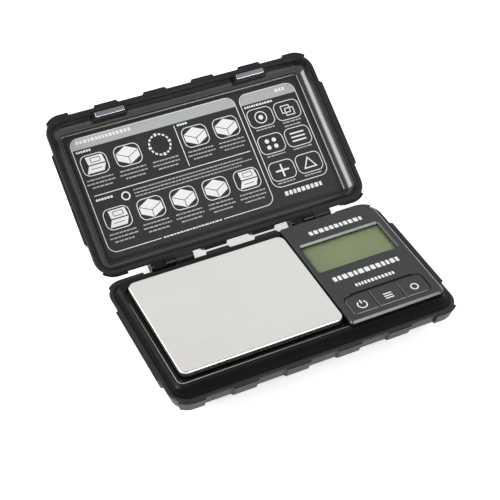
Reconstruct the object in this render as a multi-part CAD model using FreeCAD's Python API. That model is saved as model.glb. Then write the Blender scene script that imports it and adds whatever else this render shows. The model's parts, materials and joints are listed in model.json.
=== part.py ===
import FreeCAD, Part
import math
import os

# Pocket gram scale in a clamshell case, millimetres.
# +X runs to the display side, +Y to the hinge side, +Z up.
# Everything is drawn with the closed case's centre at x = 0, y = 0, and the surface under
# the rubber feet at z = 0.  The last step moves it all along Y, so that the origin is the
# middle of the footprint with the lid open.

V = FreeCAD.Vector
X_AXIS = V(1, 0, 0)
Y_AXIS = V(0, 1, 0)
Z_AXIS = V(0, 0, 1)

# ---- driving dimensions -------------------------------------------------
case_width = 125.2          # outline between the armour pads
case_depth = 71.8
corner_radius = 8.0
pad_proud = 1.0             # how far the armour pads stand out
hinge_pad_proud = 1.4       # the same for the two pads between the hinges
pad_pitch = 22.4            # one pad and one gap along the long sides
pad_chamfer = 0.7
pad_root = 2.4              # how deep a pad is rooted in the band
side_pad_half = 20.6        # half length of the pad on each short side
platform_height = 18.0      # top of the tray and of the control panel
parting_height = 13.8       # plane where the lid meets the base
seam_gap = 0.3              # light gap between lid rim and base rim when shut
band_height = 5.6           # band that carries the pads, each half
band_draft = 1.8            # how far the band leans in over its height
edge_break = 0.4
foot_height = 0.8
floor_thickness = 1.4
belly_inset = 10.35         # how far the bottom is set in from the outline
wall = 1.7
lid_height = 8.8            # from the parting plane to the top of the lid
lid_top_inset = 5.65
lid_depth = 7.1             # from the parting plane to the lid's inner floor
lid_floor_inset = 7.3
open_angle = 147.5          # lid angle from shut, in the modelled position

tray_width = 70.0
tray_depth = 54.3
tray_left = -55.4
tray_front = -25.5
tray_radius = 3.2
tray_skirt = 2.4
tray_edge = 0.65            # rounding of the tray's upper edge
sheet = 0.6
platform_travel = 0.3

deck_inset = 2.0            # deck outline, measured in from the case outline
deck_plate = 1.4
deck_top = 15.9             # ridge round the tray
ridge = 0.8
ridge_left = -58.0
ridge_front = -28.6
pocket_floor = 14.6
pocket_back = tray_front + tray_depth + 0.6
pocket_corners = (1.5, 5.2, 2.8, 1.5)  # back right, back left, front left, front right
panel_left = 15.4
panel_right = 58.7
panel_front = -29.2
panel_back = 32.6
panel_bevel = 0.8
panel_corners = (6.5, 1.2, 1.2, 2.6)   # back right, back left, front left, front right
ridge_corners = (6.0, 3.0, 3.0, 3.0)

window_left, window_right = 18.1, 54.8
window_front, window_back = 2.2, 18.8
keys_left, keys_right = 18.8, 54.2
keys_front, keys_back = -25.7, -15.8
key_dividers = (30.3, 42.7)
key_gap = 0.35
key_travel = 0.4
key_post_radius = 1.6

hinge_y = case_depth / 2 + 1.7
hinge_z = parting_height
hinge_centres = (-32.2, 32.2)
hinge_lid_from, hinge_lid_to = -9.2, 1.6
hinge_base_from, hinge_base_to = 2.0, 9.9
barrel_radius = 2.3
barrel_clearance = 0.3
barrel_core = 1.3           # floor of the recess in the lid's barrels, below the pin's axis
pin_radius = 0.9
pin_fit = 0.05

magnet_centres = (-33.0, 33.0)
magnet_length = 13.2
magnet_width = 2.5
magnet_depth = 3.6

cell_length, cell_width, cell_height = 45.0, 12.0, 6.0
cell_left = -46.0
cell_centre_y = 1.5
cell_spacer = 1.9
cell_fixed_screws = (-42.5, -35.5)
cell_free_screws = (-11.5, -4.5)

battery_radius = 5.25       # AAA cell
battery_length = 43.3
nub_radius, nub_length = 1.9, 1.2
battery_pitch = 10.8
battery_x = 27.0
battery_z = 7.65

case_screw_places = ((-36.0, -20.5), (-36.0, 20.5), (11.0, -20.5), (11.0, 20.5))
foot_places = ((-46.5, -19.5), (-46.5, 19.5), (46.5, -19.5), (46.5, 19.5))
foot_radius = 3.6
foot_sunk = 0.6
board_screw_places = ((20.0, 27.5), (54.0, 27.5), (20.0, -10.0), (54.0, -10.0))

# ---- derived heights ----------------------------------------------------
base_rim = parting_height - seam_gap / 2
lid_rim = parting_height + seam_gap / 2
base_band_bottom = parting_height - band_height
lid_band_top = parting_height + band_height
floor_top = foot_height + floor_thickness
lid_top = parting_height + lid_height
lid_floor = parting_height + lid_depth
deck_bottom = base_rim - deck_plate
panel_underside = platform_height - deck_plate
board_bottom = 13.1
board_thickness = 1.0
board_top = board_bottom + board_thickness
half_w = case_width / 2
half_d = case_depth / 2
corner_pad_start = 2.25 * pad_pitch


# ---- plain helpers ------------------------------------------------------
def box(x0, x1, y0, y1, z0, z1):
    return Part.makeBox(x1 - x0, y1 - y0, z1 - z0, V(x0, y0, z0))


def post(x, y, z0, z1, radius):
    return Part.makeCylinder(radius, z1 - z0, V(x, y, z0), Z_AXIS)


def rod_x(x0, x1, y, z, radius):
    return Part.makeCylinder(radius, x1 - x0, V(x0, y, z), X_AXIS)


def outline(x0, x1, y0, y1, radius, z):
    """Closed wire of a rectangle with round corners, at height z.

    radius is one value, or four: back right, back left, front left, front right.
    """
    radii = radius if isinstance(radius, tuple) else (radius,) * 4
    places = ((x1, y1), (x0, y1), (x0, y0), (x1, y0))
    inward = ((-1, -1), (1, -1), (1, 1), (-1, 1))

    def on_arc(index, degrees):
        angle = math.radians(90 * index + degrees)
        r = radii[index]
        centre_x = places[index][0] + inward[index][0] * r
        centre_y = places[index][1] + inward[index][1] * r
        return V(centre_x + r * math.cos(angle), centre_y + r * math.sin(angle), z)

    edges = []
    for index in range(4):
        edges.append(Part.Arc(on_arc(index, 0), on_arc(index, 45), on_arc(index, 90)).toShape())
        edges.append(Part.LineSegment(on_arc(index, 90), on_arc((index + 1) % 4, 0)).toShape())
    return Part.Wire(edges)


def slab(x0, x1, y0, y1, radius, z0, z1):
    return Part.Face(outline(x0, x1, y0, y1, radius, z0)).extrude(V(0, 0, z1 - z0))


def case_outline(inset, z):
    radius = max(corner_radius - inset, 1.5)
    return outline(-half_w + inset, half_w - inset, -half_d + inset, half_d - inset, radius, z)


def stack(sections, make=case_outline):
    """Solid through (inset, z) sections, with flat strips between them."""
    return Part.makeLoft([make(inset, z) for inset, z in sections], True, True)


def polygon_prism(points, z0, z1):
    wire = Part.makePolygon([V(x, y, z0) for x, y in points] + [V(points[0][0], points[0][1], z0)])
    return Part.Face(wire).extrude(V(0, 0, z1 - z0))


def group(shapes):
    return Part.makeCompound(shapes)


def opened(shape):
    """Turn a lid piece from its shut place to the open one."""
    turned = shape.copy()
    turned.rotate(V(0, hinge_y, hinge_z), X_AXIS, -open_angle)
    return turned


# ---- armour pads, the same on both halves -------------------------------
def leaning_prism(points, lean, rim_z, far_z):
    """Prism whose end at far_z is the outline at rim_z moved by lean."""
    def ring(dx, dy, z):
        corners = [V(x + dx, y + dy, z) for x, y in points]
        return Part.makePolygon(corners + corners[:1])

    ends = [ring(0, 0, rim_z), ring(lean[0], lean[1], far_z)]
    if far_z < rim_z:
        ends.reverse()
    return Part.makeLoft(ends, True, True)


def pad_points(half, inner, edge, outer):
    """Half outline of a pad as (along the side, outwards) points, then mirrored."""
    near = [(half, inner), (half, edge), (half - pad_chamfer, outer)]
    return near + [(-along, out) for along, out in reversed(near)]


def long_side_pad(centre, side, proud, rim_z, far_z):
    points = [(centre + along, side * out)
              for along, out in pad_points(pad_pitch / 4, half_d - pad_root, half_d, half_d + proud)]
    return leaning_prism(points, (0, -side * band_draft), rim_z, far_z)


def short_side_pad(side, rim_z, far_z):
    points = [(side * out, along)
              for along, out in pad_points(side_pad_half, half_w - pad_root, half_w, half_w + pad_proud)]
    return leaning_prism(points, (-side * band_draft, 0), rim_z, far_z)


def corner_pad(side_x, side_y, start, rim_z, far_z):
    """Pad from x = start on the long side to the middle of the corner."""
    levels = [(-pad_proud, rim_z), (band_draft - pad_proud, far_z)]
    if far_z < rim_z:
        levels.reverse()
    outer = stack(levels)
    low, high = sorted((rim_z, far_z))
    inner = slab(-half_w + pad_root, half_w - pad_root, -half_d + pad_root, half_d - pad_root,
                 corner_radius - pad_root, low - 1, high + 1)
    centre_x = half_w - corner_radius
    centre_y = half_d - corner_radius
    reach = corner_radius + 2 * pad_proud
    points = ((start, centre_y), (start, centre_y + reach),
              (centre_x + reach, centre_y + reach), (centre_x, centre_y))
    keep = polygon_prism([(side_x * x, side_y * y) for x, y in points], low - 1, high + 1)
    return outer.cut(inner).common(keep)


def armour(rim_z, far_z, hinge_side_start):
    """All pads of one half; hinge_side_start is where its corner pads begin beside the hinges."""
    pads = []
    for centre in (-1.5 * pad_pitch, -0.5 * pad_pitch, 0.5 * pad_pitch, 1.5 * pad_pitch):
        pads.append(long_side_pad(centre, -1, pad_proud, rim_z, far_z))
    for centre in (-0.5 * pad_pitch, 0.5 * pad_pitch):
        pads.append(long_side_pad(centre, 1, hinge_pad_proud, rim_z, far_z))
    for side in (-1, 1):
        pads.append(short_side_pad(side, rim_z, far_z))
        pads.append(corner_pad(side, -1, corner_pad_start, rim_z, far_z))
        pads.append(corner_pad(side, 1, hinge_side_start, rim_z, far_z))
    return pads


# ---- base housing -------------------------------------------------------
bay_left, bay_right, bay_half = 2.2, 51.6, 11.6
bay_wall = 1.0
door_left, door_right, door_half = 3.8, 50.2, 11.1
door_gap = 0.2
grip_width = 0.8
screw_hole = 1.15
screw_shank = 1.0
head_radius, head_height = 1.9, 1.4
counterbore = 4.0
slot_width = 0.35
slot_depth = 0.5
boss_top = 7.0
boss_radius = 3.2
bay_top = 10.4
knee_inset = 4.3            # inside of the wall where the sloping bottom meets the band
ledge_inset = 2.9           # inside of the wall under the deck
ledge_bottom = 10.6


def hinge_leaf(centre, from_x, to_x, side):
    """Barrel and web of one hinge knuckle; side is 1 above the parting plane, -1 below it."""
    x0, x1 = centre + from_x, centre + to_x
    barrel = rod_x(x0, x1, hinge_y, hinge_z, barrel_radius)
    web_z = sorted((hinge_z + side * seam_gap / 2, hinge_z + side * barrel_radius))
    web = box(x0, x1, half_d - wall / 2, hinge_y, web_z[0], web_z[1])
    return barrel.fuse(web)


def lower_shell():
    body = stack(((belly_inset, foot_height), (band_draft, base_band_bottom),
                  (0, base_rim - edge_break), (edge_break, base_rim)))
    body = body.fuse(armour(base_rim - edge_break / 2, base_band_bottom, 2.0 * pad_pitch))
    hollow_low = stack(((belly_inset + 0.7, floor_top), (knee_inset, base_band_bottom - 0.4),
                        (ledge_inset, ledge_bottom), (ledge_inset, base_rim + 1)))
    hollow_high = slab(-half_w + wall, half_w - wall, -half_d + wall, half_d - wall,
                       corner_radius - wall, deck_bottom, base_rim + 1)
    body = body.cut([hollow_low, hollow_high])

    inside = [box(bay_left - bay_wall, bay_right + bay_wall, -bay_half - bay_wall, bay_half + bay_wall,
                  floor_top - 0.5, bay_top)
              .cut(box(bay_left, bay_right, -bay_half, bay_half, floor_top - 1, bay_top + 1))]
    for x, y in case_screw_places:
        inside.append(post(x, y, foot_height + 0.2, boss_top, boss_radius))
    body = body.fuse(inside)

    cuts = [box(door_left - door_gap, door_right + door_gap, -door_half - door_gap, door_half + door_gap,
                0, floor_top + 0.01)]
    for x, y in case_screw_places:
        cuts.append(post(x, y, 0, boss_top + 1, screw_hole))
        cuts.append(post(x, y, 0, counterbore, head_radius + 0.3))
    for x, y in foot_places:
        cuts.append(post(x, y, 0, foot_height + foot_sunk, foot_radius))
    for x in cell_fixed_screws:
        cuts.append(post(x, cell_centre_y, cell_screw_end, floor_top + 1, m3))
    for centre in hinge_centres:
        cuts.append(rod_x(centre + hinge_lid_from - 0.4, centre + hinge_lid_to + 0.4,
                          hinge_y, hinge_z, barrel_radius + barrel_clearance))
    body = body.cut(cuts)

    for centre in hinge_centres:
        body = body.fuse(hinge_leaf(centre, hinge_base_from, hinge_base_to, -1))
        body = body.cut(rod_x(centre + hinge_base_from - 1, centre + hinge_base_to + 1,
                              hinge_y, hinge_z, pin_radius))
    return body.removeSplitter()


def battery_door():
    plate = slab(door_left, door_right, -door_half, door_half, 1.5, foot_height, floor_top)
    grips = []
    for step in range(5):
        x = door_right - 4.0 - 2 * grip_width * step
        grips.append(box(x, x + grip_width, -5.0, 5.0, foot_height - 0.5, foot_height + grip_width / 2))
    return plate.cut(grips)


def rubber_feet():
    return group([post(x, y, 0, foot_height + foot_sunk, foot_radius) for x, y in foot_places])


def screw(x, y, head_z, up, length, shank, head, head_thick):
    """Cross-slot screw; the shank starts at head_z and runs up or down."""
    sign = 1 if up else -1
    tip = head_z + sign * length
    outer = head_z - sign * head_thick
    shaft = post(x, y, min(head_z, tip), max(head_z, tip), shank)
    cap = post(x, y, min(head_z, outer), max(head_z, outer), head)
    reach = head * 0.6
    half = slot_width / 2
    slots = [box(x - reach, x + reach, y - half, y + half, outer - slot_depth, outer + slot_depth),
             box(x - half, x + half, y - reach, y + reach, outer - slot_depth, outer + slot_depth)]
    return shaft.fuse(cap).cut(slots)


def case_screws():
    return group([screw(x, y, counterbore, True, 7.0, screw_shank, head_radius, head_height)
                  for x, y in case_screw_places])


# ---- deck: slope, ridge, tray pocket and control panel ------------------
slope_steps = ((0.0, 0.0), (0.62, 0.22), (0.9, 0.6), (1.0, 1.0))   # share inwards, share upwards
bevel_depth = 0.8           # bevel round the window
groove_width = 0.9          # slit behind the keys
deck_boss_radius = 2.4
board_post_radius = 1.8
rest_post_radius = 1.5      # stops under the tray's corners
board_screw_bite = 2.2


def deck_envelope():
    x0, x1 = -half_w + deck_inset, half_w - deck_inset
    y0, y1 = -half_d + deck_inset, half_d - deck_inset
    plate = slab(x0, x1, y0, y1, corner_radius - deck_inset, deck_bottom, base_rim)

    def section(share, height):
        """Outline part of the way from the seam to the ridge."""
        seam_radius = corner_radius - deck_inset
        radii = tuple(seam_radius + (corner - seam_radius) * share for corner in ridge_corners)
        return outline(x0 + (ridge_left - x0) * share, x1 + (panel_right - x1) * share,
                       y0 + (ridge_front - y0) * share, y1 + (panel_back - y1) * share,
                       radii, base_rim + (deck_top - base_rim) * height)

    slope = Part.makeLoft([section(share, height) for share, height in slope_steps], True, True)

    def panel_section(inset, z):
        return outline(panel_left + inset / 2, panel_right - inset, panel_front + inset, panel_back - inset,
                       tuple(corner - inset / 2 for corner in panel_corners), z)

    panel = stack(((0, deck_bottom), (0, platform_height - panel_bevel), (panel_bevel, platform_height)),
                  panel_section)
    panel = panel.common(box(-half_w, half_w, -half_d, half_d, base_rim - 0.4, platform_height))
    return plate.fuse([slope, panel])


def key_bounds(index):
    edges = (keys_left,) + key_dividers + (keys_right,)
    x0 = edges[index] + (key_gap / 2 if index > 0 else 0)
    x1 = edges[index + 1] - (key_gap / 2 if index < 2 else 0)
    return x0, x1


def top_deck():
    body = deck_envelope()
    pocket = slab(ridge_left + ridge, panel_left + 0.001, ridge_front + ridge, pocket_back,
                  pocket_corners, pocket_floor, platform_height + 1)
    square_end = box(panel_left - 3, panel_left, ridge_front + ridge, pocket_back,
                     pocket_floor, platform_height + 1)
    under_tray = box(ridge_left + 2.2, panel_left, ridge_front + 2.0, 30.4,
                     deck_bottom - 1, pocket_floor - deck_plate)
    under_panel = box(panel_left + deck_plate, panel_right - deck_plate - 0.1, panel_front + deck_plate + 0.3,
                      panel_back - deck_plate, deck_bottom - 1, panel_underside)
    over_batteries = box(panel_left - 1, panel_left + deck_plate + 1, -bay_half - bay_wall,
                         bay_half + bay_wall, deck_bottom - 1, pocket_floor - deck_plate)
    cell_end = cell_left + cell_length
    post_opening = slab(cell_end - 16.5, cell_end + 2.0, cell_centre_y - 8.0, cell_centre_y + 8.0, 1.5,
                        deck_bottom - 1, pocket_floor + 1)
    window = slab(window_left, window_right, window_front, window_back, 0.4,
                  panel_underside - 1, platform_height + 1)
    window_bevel = Part.makeLoft(
        [outline(window_left - grow, window_right + grow, window_front - grow, window_back + grow,
                 0.4 + grow, platform_height - bevel_depth + grow) for grow in (0.0, bevel_depth + 0.01)],
        True, True)
    keys = slab(keys_left - key_gap, keys_right + key_gap, keys_front - key_gap, keys_back + key_gap,
                2.4, panel_underside - 1, platform_height + 1)
    groove_front = keys_back + key_gap - 0.1
    key_groove = slab(keys_left + 3.7, keys_right - 3.2, groove_front, groove_front + groove_width + 0.1, 0.3,
                      platform_height - 0.6, platform_height + 1)
    body = body.cut([pocket, square_end, under_tray, under_panel, over_batteries, post_opening,
                     window, window_bevel, keys, key_groove])

    extras = []
    for x, y in case_screw_places:
        extras.append(post(x, y, boss_top + 0.1, pocket_floor - 0.5, deck_boss_radius))
    for x, y in board_screw_places:
        extras.append(post(x, y, board_top, panel_underside + 0.5, board_post_radius))
    for x in (tray_left + 8, tray_left + tray_width - 8):
        for y in (tray_front + 7, tray_front + tray_depth - 7):
            extras.append(post(x, y, pocket_floor - 0.5, pocket_floor + 0.5, rest_post_radius))
    body = body.fuse(extras)
    holes = [post(x, y, boss_top, 11.2, screw_shank) for x, y in case_screw_places]
    holes += [post(x, y, board_top - 1, board_top + board_screw_bite, board_screw_shank)
              for x, y in board_screw_places]
    return body.cut(holes).removeSplitter()


def keeper_plates():
    """Steel strips under the deck's front edge, which the lid's magnets pull on."""
    half = magnet_length / 2
    front = -half_d + 3.3
    return group([box(centre - half, centre + half, front, front + 3.5, deck_bottom - 1.0, deck_bottom)
                  for centre in magnet_centres])


# ---- display ------------------------------------------------------------
glass_left, glass_right = 17.8, 56.0
glass_front, glass_back = 0.6, 20.9
glass_bottom, glass_top = 14.85, 16.05
lens_bottom = 16.1


def display_window():
    return slab(window_left - 0.8, window_right + 1.0, window_front - 1.0, window_back + 1.0, 0.5,
                lens_bottom, panel_underside)


def lcd_glass():
    return box(glass_left, glass_right, glass_front, glass_back, glass_bottom, glass_top)


def lcd_holder():
    rim = 0.6
    outer = box(glass_left - rim, glass_right + rim, glass_front - rim, glass_back + rim,
                board_top, glass_top)
    inner = box(glass_left, glass_right, glass_front, glass_back, board_top - 1, glass_top + 1)
    return outer.cut(inner)


def lcd_backlight():
    return box(glass_left + 0.3, glass_right - 0.3, glass_front + 0.3, glass_back - 3.0,
               board_top + 0.05, glass_bottom)


def lcd_connector():
    return box(glass_left + 1.0, glass_right - 1.0, glass_back - 2.5, glass_back - 0.6,
               board_top, glass_bottom)


# ---- electronics --------------------------------------------------------
board_screw_shank = 0.8
board_screw_head = 1.6
dome_height = 0.45


def main_board():
    board = box(panel_left + 1.9, panel_right - 2.0, panel_front + 2.4, panel_back - 2.0,
                board_bottom, board_top)
    return board.cut([post(x, y, board_bottom - 1, board_top + 1, 0.95) for x, y in board_screw_places])


def board_screws():
    length = board_thickness + board_screw_bite
    return group([screw(x, y, board_bottom, True, length, board_screw_shank, board_screw_head, 0.9)
                  for x, y in board_screw_places])


def controller_chip():
    base = slab(22.0, 32.0, 15.5, 24.5, 3.0, board_bottom - 0.7, board_bottom)
    crown = slab(23.5, 30.5, 17.0, 23.0, 2.5, board_bottom - 1.2, board_bottom - 0.7)
    return base.fuse(crown).removeSplitter()


def key_domes():
    domes = []
    for index in range(3):
        x0, x1 = key_bounds(index)
        centre = V((x0 + x1) / 2, (keys_front + keys_back) / 2, board_top)
        domes.append(Part.makeCone(2.4, 1.2, dome_height, centre, Z_AXIS))
    return group(domes)


def key_cap(index):
    """Key with a retaining lip under the panel and a post above its switch."""
    x0, x1 = key_bounds(index)
    cap_bottom = panel_underside - 0.6
    radius = 2.0
    face = slab(keys_left, keys_right, keys_front, keys_back, radius, cap_bottom, platform_height)
    cap = face.common(box(x0, x1, keys_front - 1, keys_back + 1, cap_bottom, platform_height))
    top_edges = [edge for edge in cap.Edges
                 if abs(edge.BoundBox.ZMin - platform_height) < 0.01]
    cap = cap.makeChamfer(0.25, top_edges)
    lip = box(x0 + 1.0, x1 - 1.0, keys_front - 1.1, keys_back + 1.1, cap_bottom, panel_underside - 0.05)
    stem_bottom = board_top + dome_height + key_travel + 0.15
    stem = post((x0 + x1) / 2, (keys_front + keys_back) / 2, stem_bottom, cap_bottom + 0.1, key_post_radius)
    return cap.fuse([lip, stem]).removeSplitter()


# ---- batteries ----------------------------------------------------------
def battery(side):
    """AAA cell lying along X; its nub points the way side says."""
    y = side * battery_pitch / 2
    x0 = battery_x - side * (battery_length + nub_length) / 2
    direction = V(side, 0, 0)
    can = Part.makeCylinder(battery_radius, battery_length, V(x0, y, battery_z), direction)
    nub = Part.makeCylinder(nub_radius, nub_length, V(x0 + side * battery_length, y, battery_z), direction)
    return can.fuse(nub)


def contact_plate(end, y0, y1):
    """Upright spring plate at one end of the bay, end is -1 or 1."""
    tip = battery_x + end * (battery_length + nub_length) / 2
    thick = 0.4
    back = tip + end * 1.6
    x0, x1 = sorted((back, back + end * thick))
    plate = box(x0, x1, y0, y1, floor_top + 0.4, 10.8)
    b0, b1 = sorted((tip, back))
    dimples = []
    count = 2 if y1 - y0 > 12 else 1
    for index in range(count):
        y = (y0 + y1) / 2 + (index - (count - 1) / 2) * battery_pitch
        dimples.append(Part.makeCone(2.6 if end > 0 else 1.0, 1.0 if end > 0 else 2.6, b1 - b0,
                                     V(b0, y, battery_z), X_AXIS))
    return plate.fuse(dimples).removeSplitter()


def battery_bridge():
    return contact_plate(-1, -bay_half + 1.4, bay_half - 1.4)


def battery_terminals():
    """The two end contacts, each with a tail up to the board."""
    terminals = []
    back = battery_x + (battery_length + nub_length) / 2 + 1.6
    for side in (-1, 1):
        y0, y1 = sorted((side * 1.2, side * (bay_half - 1.4)))
        tail = box(back, back + 0.4, (y0 + y1) / 2 - 1.0, (y0 + y1) / 2 + 1.0, 10.0, board_bottom)
        terminals.append(contact_plate(1, y0, y1).fuse(tail).removeSplitter())
    return group(terminals)


# ---- weighing mechanism -------------------------------------------------
cell_bottom = floor_top + cell_spacer
cell_top = cell_bottom + cell_height
cell_y0 = cell_centre_y - cell_width / 2
cell_y1 = cell_centre_y + cell_width / 2
carrier_top = platform_height - sheet - 0.3
carrier_bottom = carrier_top - 1.6
post_gap = platform_travel + 0.05
m3 = 1.5                    # shank radius
cell_screw_end = 1.6        # height of the fixed screws' tips
bend_hole = 2.3             # radius of the two holes that thin the beam
bend_offset = 4.5
gauge_thickness = 0.3
lead_y = 16.2
socket_left = 20.0


def load_cell():
    beam = box(cell_left, cell_left + cell_length, cell_y0, cell_y1, cell_bottom, cell_top)
    middle = cell_left + cell_length / 2
    mid_z = (cell_bottom + cell_top) / 2
    cuts = []
    for x in (middle - bend_offset, middle + bend_offset):
        cuts.append(Part.makeCylinder(bend_hole, cell_width + 2, V(x, cell_y0 - 1, mid_z), Y_AXIS))
    cuts.append(box(middle - bend_offset, middle + bend_offset, cell_y0 - 1, cell_y1 + 1,
                    mid_z - 1.0, mid_z + 1.0))
    for x in cell_fixed_screws:
        cuts.append(post(x, cell_centre_y, cell_bottom - 1, cell_top + 1, m3))
    for x in cell_free_screws:
        cuts.append(post(x, cell_centre_y, cell_bottom - 1, cell_top + 1, m3 + 0.1))
    return beam.cut(cuts)


def load_cell_mount():
    plate = box(cell_left, cell_left + 14.0, cell_y0, cell_y1, floor_top, cell_bottom)
    return plate.cut([post(x, cell_centre_y, floor_top - 1, cell_bottom + 1, m3) for x in cell_fixed_screws])


def load_cell_screws():
    return group([screw(x, cell_centre_y, cell_top, False, cell_top - cell_screw_end, m3, 2.7, 1.4)
                  for x in cell_fixed_screws])


def platform_screws():
    head_z = cell_bottom - 0.05
    return group([screw(x, cell_centre_y, head_z, True, cell_top - head_z + 4.0, m3, 2.7, 1.2)
                  for x in cell_free_screws])


def strain_gauges():
    middle = cell_left + cell_length / 2
    pads = []
    for z in (cell_top, cell_bottom - gauge_thickness):
        pads.append(slab(middle - 7.5, middle + 7.5, cell_centre_y - 3.5, cell_centre_y + 3.5, 1.5,
                         z, z + gauge_thickness))
    return group(pads)


def rounded_route(points, radius, tube_radius):
    """Tube along straight runs joined by tangent arcs of one radius."""
    corners = [V(*point) for point in points]
    edges = []
    here = corners[0]
    for before, corner, after in zip(corners, corners[1:], corners[2:]):
        into = (corner - before).normalize()
        out = (after - corner).normalize()
        turn = into.getAngle(out)
        cut_back = radius * math.tan(turn / 2)
        start = corner - into * cut_back
        end = corner + out * cut_back
        inward = (out - into).normalize()
        centre = corner + inward * (radius / math.cos(turn / 2))
        middle = centre - inward * radius
        edges.append(Part.LineSegment(here, start).toShape())
        edges.append(Part.Arc(start, middle, end).toShape())
        here = end
    edges.append(Part.LineSegment(here, corners[-1]).toShape())
    path = Part.Wire(edges)
    ring = Part.Wire(Part.makeCircle(tube_radius, corners[0], corners[1] - corners[0]))
    return path.makePipeShell([ring], True, False)


def load_cell_lead():
    """Four-core lead from the gauges to the socket under the board."""
    start_x = cell_left + cell_length / 2 - 9.0
    return rounded_route(((start_x, cell_y1, 7.4), (start_x, lead_y, 7.4), (6.0, lead_y, 11.2),
                          (socket_left, lead_y, 11.2)), 3.0, 0.8)


def lead_socket():
    return box(socket_left, socket_left + 1.9, lead_y - 3.0, lead_y + 3.0, board_bottom - 2.8, board_bottom)


def tray_carrier():
    clear = 0.25
    plate = slab(tray_left + sheet + clear, tray_left + tray_width - sheet - clear,
                 tray_front + sheet + clear, tray_front + tray_depth - sheet - clear,
                 tray_radius - sheet, carrier_bottom, carrier_top)
    x1 = cell_left + cell_length
    stem = box(x1 - 14.0, x1, cell_y0 + 0.5, cell_y1 - 0.5, cell_top + post_gap, carrier_bottom + 0.1)
    body = plate.fuse(stem)
    holes = [post(x, cell_centre_y, cell_top, cell_top + 4.0, m3) for x in cell_free_screws]
    return body.cut(holes).removeSplitter()


def tray_pads():
    pads = []
    z0 = carrier_top
    for x in (tray_left + 14, tray_left + tray_width - 14):
        for y in (tray_front + 12, tray_front + tray_depth - 12):
            pads.append(box(x - 8, x + 8, y - 6, y + 6, z0, platform_height - sheet))
    return group(pads)


def weighing_tray():
    x1 = tray_left + tray_width
    y1 = tray_front + tray_depth
    bottom = platform_height - tray_skirt
    outer = slab(tray_left, x1, tray_front, y1, tray_radius, bottom, platform_height)
    top_edges = [edge for edge in outer.Edges if abs(edge.BoundBox.ZMin - platform_height) < 0.01]
    outer = outer.makeFillet(tray_edge, top_edges)
    inner = slab(tray_left + sheet, x1 - sheet, tray_front + sheet, y1 - sheet, tray_radius - sheet,
                 bottom - 1, platform_height - sheet)
    return outer.cut(inner)


# ---- lid ----------------------------------------------------------------
rebate_depth = 0.9
rebate_step = 0.7
cove_turn = 70.0            # how far the cove curves towards the floor, in degrees
fillet_inset = 6.1          # where the cove meets the small fillet at the floor
fillet_rise = 0.95
label_thickness = 0.25


def curved_sections(start, end, turn, steps):
    """(inset, z) points from start to end on an arc that starts upright and turns by turn degrees."""
    reach = (end[0] - start[0]) / (1 - math.cos(math.radians(turn)))
    rise = (end[1] - start[1]) / math.sin(math.radians(turn))
    angles = [math.radians(turn * step / steps) for step in range(1, steps + 1)]
    return [(start[0] + reach * (1 - math.cos(angle)), start[1] + rise * math.sin(angle)) for angle in angles]


def lid_hollow():
    """Rebate at the rim, then a cove that curves in, and a small fillet down to the floor."""
    first_inset = wall + rebate_step
    cove_start = (first_inset, lid_rim + rebate_depth)
    cove_end = (fillet_inset, lid_floor - fillet_rise)
    cove = stack([(first_inset, lid_rim - 1), cove_start]
                 + curved_sections(cove_start, cove_end, cove_turn, 6)
                 + curved_sections(cove_end, (lid_floor_inset, lid_floor), 90.0, 4))
    rebate = slab(-half_w + wall, half_w - wall, -half_d + wall, half_d - wall,
                  corner_radius - wall, lid_rim - 1, lid_rim + rebate_depth)
    return cove.fuse(rebate)


field_half_width, field_half_depth = 12.0, 22.0
field_radius = 4.0
field_height = 0.6
holder_half = magnet_length / 2 + 1.1
holder_front = -half_d + wall + 0.1
holder_back = holder_front + magnet_width + 0.9
holder_z = lid_rim + 0.35


def magnet_slot(centre):
    y0 = holder_front + 0.2
    z0 = holder_z
    return box(centre - magnet_length / 2, centre + magnet_length / 2, y0, y0 + magnet_width,
               z0, z0 + magnet_depth)


def raised_panel(centre):
    """One of the plain raised fields on the outside of the lid."""
    def section(inset, z):
        return outline(centre - field_half_width + inset, centre + field_half_width - inset,
                       -field_half_depth + inset, field_half_depth - inset, field_radius - inset, z)

    return stack(((0, lid_top - 0.3), (0, lid_top), (field_height, lid_top + field_height)), section)


def lid_shell():
    body = stack(((edge_break, lid_rim), (0, lid_rim + edge_break), (band_draft, lid_band_top),
                  (lid_top_inset, lid_top)))
    body = body.fuse(armour(lid_rim + edge_break / 2, lid_band_top, corner_pad_start))
    body = body.cut(lid_hollow())
    body = body.fuse([raised_panel(centre) for centre in (-30.0, 0.0, 30.0)])
    cuts = []
    for centre in hinge_centres:
        cuts.append(rod_x(centre + hinge_base_from - 0.4, centre + hinge_base_to + 0.4,
                          hinge_y, hinge_z, barrel_radius + barrel_clearance))
    cuts += [magnet_slot(centre) for centre in magnet_centres]
    body = body.cut(cuts)
    for centre in hinge_centres:
        body = body.fuse(hinge_leaf(centre, hinge_lid_from, hinge_lid_to, 1))
        x0 = centre + hinge_lid_from
        body = body.cut([rod_x(x0 - 1, centre + hinge_lid_to + 1, hinge_y, hinge_z, pin_radius + pin_fit),
                         box(x0 + 1.4, x0 + 6.4, hinge_y - 1.5, hinge_y + 1.5,
                             hinge_z - barrel_radius - 1, hinge_z - barrel_core)])
    return body.removeSplitter()


def magnet_holders():
    holders = []
    for centre in magnet_centres:
        block = box(centre - holder_half, centre + holder_half, holder_front, holder_back,
                    holder_z, lid_floor)
        holders.append(block.common(lid_hollow()).cut(magnet_slot(centre)))
    return group(holders)


def lid_label():
    inset = lid_floor_inset + 1.0
    return slab(-half_w + inset, half_w - inset, -half_d + inset, half_d - inset, 2.5,
                lid_floor - label_thickness, lid_floor)


def hinge_pin(centre):
    return rod_x(centre + hinge_lid_from + 0.4, centre + hinge_base_to - 0.4, hinge_y, hinge_z, pin_radius)


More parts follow.
